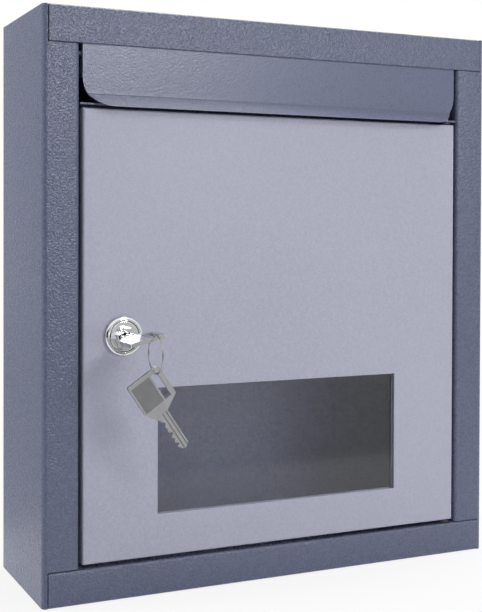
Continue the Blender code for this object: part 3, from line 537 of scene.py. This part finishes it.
floor_shape = bmesh.new()
bmesh.ops.create_grid(floor_shape, x_segments=1, y_segments=1, size=FLOOR_REACH)
bmesh.ops.translate(floor_shape, verts=floor_shape.verts, vec=(0, 0, -FLOOR_DROP))
floor_mesh = bpy.data.meshes.new("floor")
floor_shape.to_mesh(floor_mesh)
floor_shape.free()
floor_mesh.materials.append(floor_finish.material)
floor = bpy.data.objects.new("floor", floor_mesh)
bpy.context.scene.collection.objects.link(floor)
print("floor laid")

# %% Surroundings
SKY_TINT = (0.93, 0.96, 1.0, 1)
SKY_LEVEL = 0.25

world = bpy.data.worlds.new("studio")
bpy.context.scene.world = world
world.use_nodes = True
sky = Net(world.node_tree)
soft_sky = sky.node("ShaderNodeBackground", None, {"Color": SKY_TINT, "Strength": SKY_LEVEL})
white_sky = sky.node("ShaderNodeBackground", None, {"Color": (1, 1, 1, 1), "Strength": 1.0})
sky_mix = {0: seen_directly(sky), 1: soft_sky["Background"], 2: white_sky["Background"]}
sky.surface(sky.node("ShaderNodeMixShader", None, sky_mix)["Shader"])
print("surroundings set")

# %% [markdown]
# ## Light
#
# Four soft sources do the lighting. The key light hangs in front of the box, to its
# right, so the keys throw their shadow down to the left, with a low one under it. Another
# far to the left lights the side wall, and the one above leaves the door dark under the
# flap. The first three leave no gleam, on paint or on metal, and the one above does. The
# gleam light is the opposite of them: it lights nothing, and only lays a gleam on the
# upper left of the shell and on the bright metal.

# %% Lights
def soft_light(name, at, towards, size, power, lights=True, gleams=True):
    """A round lamp, this many metres across and watts strong, that points towards a place."""
    lamp = bpy.data.lights.new(name, "AREA")
    lamp.shape = "DISK"
    lamp.size = size
    lamp.energy = power
    holder = bpy.data.objects.new(name, lamp)
    bpy.context.scene.collection.objects.link(holder)
    holder.location = at
    holder.rotation_euler = (Vector(towards) - Vector(at)).to_track_quat("-Z", "Y").to_euler()
    holder.visible_diffuse = lights
    holder.visible_glossy = gleams
    return holder


UPPER_PART = (0, 0, 0.25)
LOWER_PART = (0.05, 0, 0.08)
MIDDLE = (0, 0, 0.15)
LEFT_WALL = (-0.1, 0, 0.15)

soft_light("key_light", at=(0.5, -1.3, 1.05), towards=MIDDLE, size=0.5, power=6, gleams=False)
soft_light("low_light", at=(0.55, -1.0, 0.10), towards=LOWER_PART, size=0.5, power=2.9, gleams=False)
soft_light("side_light", at=(-1.4, 0.45, 0.5), towards=LEFT_WALL, size=0.8, power=13, gleams=False)
soft_light("top_light", at=(0.35, 0.1, 1.7), towards=UPPER_PART, size=0.8, power=17)
soft_light("gleam_light", at=(0.38, -1.51, 0.68), towards=UPPER_PART, size=0.25, power=8, lights=False)
print("lights set")

# %% [markdown]
# Bright metal only looks like metal when it has something dark to reflect. A photographer
# puts dark and grey cards around it, out of the picture. Here three stand and two lie just
# over the floor. They are seen by mirror rays alone, so they take no light from the
# painted steel and cast no shadow.

# %% Cards
HALF_METRE = 0.5


def card(name, at, towards, width, height, brightness):
    """An evenly bright card of this width and height in metres, which faces towards a place."""
    shape = bmesh.new()
    bmesh.ops.create_grid(shape, x_segments=1, y_segments=1, size=HALF_METRE)
    bmesh.ops.scale(shape, verts=shape.verts, vec=(width, height, 1))
    mesh = bpy.data.meshes.new(name)
    shape.to_mesh(mesh)
    shape.free()
    finish = Finish(name)
    glow = finish.node("ShaderNodeEmission", None, {"Strength": brightness})["Emission"]
    finish.surface(glow)
    mesh.materials.append(finish.material)
    holder = bpy.data.objects.new(name, mesh)
    bpy.context.scene.collection.objects.link(holder)
    holder.location = at
    holder.rotation_euler = (Vector(towards) - Vector(at)).to_track_quat("Z", "Y").to_euler()
    holder.visible_camera = False
    holder.visible_diffuse = False
    holder.visible_transmission = False
    holder.visible_shadow = False
    return holder


NEARLY_BLACK = 0.01
MID_GREY = 0.4
PALE_GREY = 0.55

card("left_card", (-0.63, -0.78, 0.15), (0.1, -0.21, 0.15), width=1.43, height=0.5, brightness=NEARLY_BLACK)
card("front_card", (0.75, -1.6, 0.17), (0.75, 0, 0.17), width=1.9, height=0.34, brightness=PALE_GREY)
card("low_card", (0.45, -0.95, 0.002), (0.45, -0.95, 1), width=2.4, height=1.3, brightness=MID_GREY)
card("back_card", (-1.0, 1.6, 0.3), LEFT_WALL, width=1.6, height=1.2, brightness=MID_GREY)
card("low_back_card", (-0.9, 0.85, 0.002), (-0.9, 0.85, 1), width=1.5, height=1.5, brightness=MID_GREY)
print("cards in place")

# %% [markdown]
# ## The last settings
#
# The Standard view shows colours as they are worked out, with no film curve.

# %% Look and finish
bpy.context.scene.view_settings.view_transform = "Standard"
